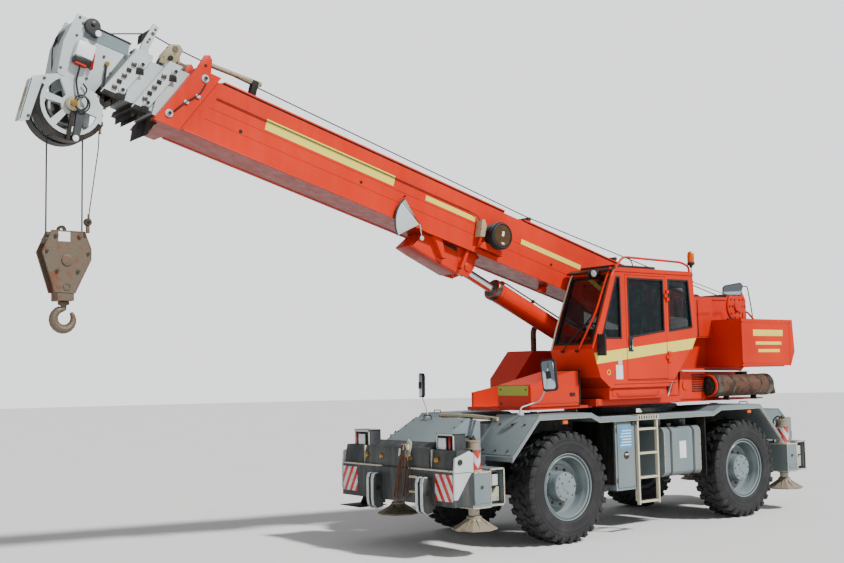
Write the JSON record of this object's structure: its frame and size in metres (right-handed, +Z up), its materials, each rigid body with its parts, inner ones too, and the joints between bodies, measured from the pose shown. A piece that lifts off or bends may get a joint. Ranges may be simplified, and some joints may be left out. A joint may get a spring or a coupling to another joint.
{
  "type": "rough-terrain mobile crane",
  "caption": "Wheeled mobile crane with slewing cab, telescopic box boom, luffing cylinder, outriggers, and a hook block hung on rope falls.",
  "frame": {"origin": "on the ground, at the middle of the machine's length and width", "axes": "+X forward along the machine and boom, +Y to the left (cab side), +Z up"},
  "size_m": [12.6343, 2.58, 6.319],
  "materials": {
    "chassis_frame": "satin grey paint",
    "front_outrigger_box": "satin grey paint",
    "rear_outrigger_box": "satin grey paint",
    "left_deck": "satin grey paint",
    "right_deck": "satin grey paint",
    "front_apron": "satin grey paint",
    "rear_apron": "satin grey paint",
    "front_axle": "matt dark paint",
    "rear_axle": "matt dark paint",
    "tool_locker": "satin grey paint",
    "access_ladder": "satin cream paint",
    "fuel_tank": "satin grey paint",
    "hydraulic_tank": "satin grey paint",
    "front_left_knuckle": "matt dark paint",
    "front_left_rim": "satin pale grey paint",
    "front_left_tyre": "worn rubber",
    "front_right_knuckle": "matt dark paint",
    "front_right_rim": "satin pale grey paint",
    "front_right_tyre": "worn rubber",
    "rear_left_knuckle": "matt dark paint",
    "rear_left_rim": "satin pale grey paint",
    "rear_left_tyre": "worn rubber",
    "rear_right_knuckle": "matt dark paint",
    "rear_right_rim": "satin pale grey paint",
    "rear_right_tyre": "worn rubber",
    "front_left_outrigger_beam": "satin grey paint",
    "front_left_jack_leg": "worn steel",
    "front_right_outrigger_beam": "satin grey paint",
    "front_right_jack_leg": "worn steel",
    "rear_left_outrigger_beam": "satin grey paint",
    "rear_left_jack_leg": "worn steel",
    "rear_right_outrigger_beam": "satin grey paint",
    "rear_right_jack_leg": "worn steel",
    "turntable_frame": "gloss red paint",
    "counterweight": "gloss red paint",
    "nose_cover": "gloss red paint",
    "left_housing": "gloss red paint",
    "right_housing": "gloss red paint",
    "muffler": "rusty",
    "cab_body": "gloss red paint",
    "cab_roof": "gloss red paint",
    "windshield": "tinted",
    "quarter_glass": "tinted",
    "operator_seat": "matt",
    "control_console": "matt",
    "cab_door": "gloss red paint",
    "door_glass": "tinted",
    "winch_drum": "worn steel",
    "boom_base": "gloss red paint",
    "cable_reel": "matt",
    "luff_rod": "polished",
    "luff_barrel": "gloss red paint",
    "boom_section_2": "satin pale grey paint",
    "boom_section_3": "satin pale grey paint",
    "boom_head": "satin pale grey paint",
    "head_sheaves": "worn steel",
    "rope_falls": "worn steel",
    "hook_block": "rusty",
    "hook": "rusty"
  },
  "bodies": {
    "carrier": {"chassis_frame": "chassis_frame", "front_outrigger_box": "front_outrigger_box", "rear_outrigger_box": "rear_outrigger_box", "left_deck": "left_deck", "right_deck": "right_deck", "front_apron": "front_apron", "rear_apron": "rear_apron", "front_axle": "front_axle", "rear_axle": "rear_axle", "tool_locker": "tool_locker", "access_ladder": "access_ladder", "fuel_tank": "fuel_tank", "hydraulic_tank": "hydraulic_tank"},
    "front_left_steering": {"front_left_knuckle": "front_left_knuckle"},
    "front_left_wheel": {"front_left_rim": "front_left_rim", "front_left_tyre": "front_left_tyre"},
    "front_right_steering": {"front_right_knuckle": "front_right_knuckle"},
    "front_right_wheel": {"front_right_rim": "front_right_rim", "front_right_tyre": "front_right_tyre"},
    "rear_left_steering": {"rear_left_knuckle": "rear_left_knuckle"},
    "rear_left_wheel": {"rear_left_rim": "rear_left_rim", "rear_left_tyre": "rear_left_tyre"},
    "rear_right_steering": {"rear_right_knuckle": "rear_right_knuckle"},
    "rear_right_wheel": {"rear_right_rim": "rear_right_rim", "rear_right_tyre": "rear_right_tyre"},
    "front_left_outrigger": {"front_left_outrigger_beam": "front_left_outrigger_beam"},
    "front_left_leg": {"front_left_jack_leg": "front_left_jack_leg"},
    "front_right_outrigger": {"front_right_outrigger_beam": "front_right_outrigger_beam"},
    "front_right_leg": {"front_right_jack_leg": "front_right_jack_leg"},
    "rear_left_outrigger": {"rear_left_outrigger_beam": "rear_left_outrigger_beam"},
    "rear_left_leg": {"rear_left_jack_leg": "rear_left_jack_leg"},
    "rear_right_outrigger": {"rear_right_outrigger_beam": "rear_right_outrigger_beam"},
    "rear_right_leg": {"rear_right_jack_leg": "rear_right_jack_leg"},
    "upper_works": {"turntable_frame": "turntable_frame", "counterweight": "counterweight", "nose_cover": "nose_cover", "left_housing": "left_housing", "right_housing": "right_housing", "muffler": "muffler", "cab_body": "cab_body", "cab_roof": "cab_roof", "windshield": "windshield", "quarter_glass": "quarter_glass", "operator_seat": "operator_seat", "control_console": "control_console"},
    "door": {"cab_door": "cab_door", "door_glass": "door_glass"},
    "winch": {"winch_drum": "winch_drum"},
    "boom": {"boom_base": "boom_base", "cable_reel": "cable_reel"},
    "cylinder_rod": {"luff_rod": "luff_rod"},
    "cylinder_barrel": {"luff_barrel": "luff_barrel"},
    "section_2": {"boom_section_2": "boom_section_2"},
    "section_3": {"boom_section_3": "boom_section_3"},
    "head": {"boom_head": "boom_head"},
    "sheaves": {"head_sheaves": "head_sheaves"},
    "falls": {"rope_falls": "rope_falls"},
    "block": {"hook_block": "hook_block"},
    "hook": {"hook": "hook"}
  },
  "joints": [
    {"name": "front_left_steer", "type": "hinge", "parent": "carrier", "child": "front_left_steering", "pos_m": [-0.532, 0.72, 0.7475], "axis": [0, 0, 1], "range_deg": [-25, 25]},
    {"name": "front_left_spin", "type": "hinge", "parent": "front_left_steering", "child": "front_left_wheel", "pos_m": [-0.532, 1, 0.7475], "axis": [0, 1, 0], "continuous": true},
    {"name": "front_right_steer", "type": "hinge", "parent": "carrier", "child": "front_right_steering", "pos_m": [-0.532, -0.72, 0.7475], "axis": [0, 0, 1], "range_deg": [-25, 25]},
    {"name": "front_right_spin", "type": "hinge", "parent": "front_right_steering", "child": "front_right_wheel", "pos_m": [-0.532, -1, 0.7475], "axis": [0, 1, 0], "continuous": true},
    {"name": "rear_left_steer", "type": "hinge", "parent": "carrier", "child": "rear_left_steering", "pos_m": [-4.402, 0.72, 0.7475], "axis": [0, 0, 1], "range_deg": [-25, 25]},
    {"name": "rear_left_spin", "type": "hinge", "parent": "rear_left_steering", "child": "rear_left_wheel", "pos_m": [-4.402, 1, 0.7475], "axis": [0, 1, 0], "continuous": true},
    {"name": "rear_right_steer", "type": "hinge", "parent": "carrier", "child": "rear_right_steering", "pos_m": [-4.402, -0.72, 0.7475], "axis": [0, 0, 1], "range_deg": [-25, 25]},
    {"name": "rear_right_spin", "type": "hinge", "parent": "rear_right_steering", "child": "rear_right_wheel", "pos_m": [-4.402, -1, 0.7475], "axis": [0, 1, 0], "continuous": true},
    {"name": "front_left_beam_slide", "type": "slide", "parent": "carrier", "child": "front_left_outrigger", "axis": [0, 1, 0], "range_m": [0, 1.7]},
    {"name": "front_left_jack", "type": "slide", "parent": "front_left_outrigger", "child": "front_left_leg", "axis": [0, 0, -1], "range_m": [0, 0.5]},
    {"name": "front_right_beam_slide", "type": "slide", "parent": "carrier", "child": "front_right_outrigger", "axis": [0, -1, 0], "range_m": [0, 1.7]},
    {"name": "front_right_jack", "type": "slide", "parent": "front_right_outrigger", "child": "front_right_leg", "axis": [0, 0, -1], "range_m": [0, 0.5]},
    {"name": "rear_left_beam_slide", "type": "slide", "parent": "carrier", "child": "rear_left_outrigger", "axis": [0, 1, 0], "range_m": [0, 1.7]},
    {"name": "rear_left_jack", "type": "slide", "parent": "rear_left_outrigger", "child": "rear_left_leg", "axis": [0, 0, -1], "range_m": [0, 0.5]},
    {"name": "rear_right_beam_slide", "type": "slide", "parent": "carrier", "child": "rear_right_outrigger", "axis": [0, -1, 0], "range_m": [0, 1.7]},
    {"name": "rear_right_jack", "type": "slide", "parent": "rear_right_outrigger", "child": "rear_right_leg", "axis": [0, 0, -1], "range_m": [0, 0.5]},
    {"name": "slew", "type": "hinge", "parent": "carrier", "child": "upper_works", "pos_m": [-2.467, 0, 1.75], "axis": [0, 0, 1], "continuous": true},
    {"name": "door_hinge", "type": "hinge", "parent": "upper_works", "child": "door", "pos_m": [-2.667, 1.215, 2.9], "axis": [0, 0, 1], "range_deg": [0, 165]},
    {"name": "winch_spin", "type": "hinge", "parent": "upper_works", "child": "winch", "pos_m": [-5.367, 0, 3.35], "axis": [0, 1, 0], "continuous": true},
    {"name": "boom_luff", "type": "hinge", "parent": "upper_works", "child": "boom", "pos_m": [-5.017, 0, 2.92], "axis": [0, -1, 0], "range_deg": [-15, 61]},
    {"name": "cylinder_eye", "type": "hinge", "parent": "boom", "child": "cylinder_rod", "pos_m": [0.28711, 0, 3.76078], "axis": [0, -1, 0], "range_deg": [-2.33, 9.46]},
    {"name": "cylinder_stroke", "type": "slide", "parent": "cylinder_rod", "child": "cylinder_barrel", "axis": [-0.9103, 0, -0.4139], "range_m": [-0.49, 1.99]},
    {"name": "telescope", "type": "slide", "parent": "boom", "child": "section_2", "axis": [0.9655, 0, 0.2605], "range_m": [0, 6.3]},
    {"name": "telescope_3", "type": "slide", "parent": "section_2", "child": "section_3", "axis": [0.9655, 0, 0.2605], "range_m": [0, 6.3]},
    {"name": "telescope_head", "type": "slide", "parent": "section_3", "child": "head", "axis": [0.9655, 0, 0.2605], "range_m": [0, 6.3]},
    {"name": "sheave_spin", "type": "hinge", "parent": "head", "child": "sheaves", "pos_m": [5.91804, 0, 5.29047], "axis": [0, 1, 0], "continuous": true},
    {"name": "hook_swing", "type": "hinge", "parent": "head", "child": "falls", "pos_m": [5.91804, 0, 5.29047], "axis": [0, 1, 0], "range_deg": [-15, 61]},
    {"name": "hook_hoist", "type": "slide", "parent": "falls", "child": "block", "axis": [0, 0, -1], "range_m": [-0.8, 2.6], "deforming": ["rope_falls"]},
    {"name": "hook_swivel", "type": "hinge", "parent": "block", "child": "hook", "pos_m": [5.91804, 0, 3.1], "axis": [0, 0, 1], "continuous": true}
  ],
  "couplings": [
    {"joint": "front_right_steer", "follows": "front_left_steer", "ratio": 1},
    {"joint": "rear_right_steer", "follows": "rear_left_steer", "ratio": 1},
    {"joint": "cylinder_eye", "follows": "boom_luff", "ratio": 0.155},
    {"joint": "cylinder_stroke", "follows": "boom_luff", "m_per_rad": 1.862},
    {"joint": "telescope_3", "follows": "telescope", "ratio": 1},
    {"joint": "telescope_head", "follows": "telescope", "ratio": 1}
  ]
}
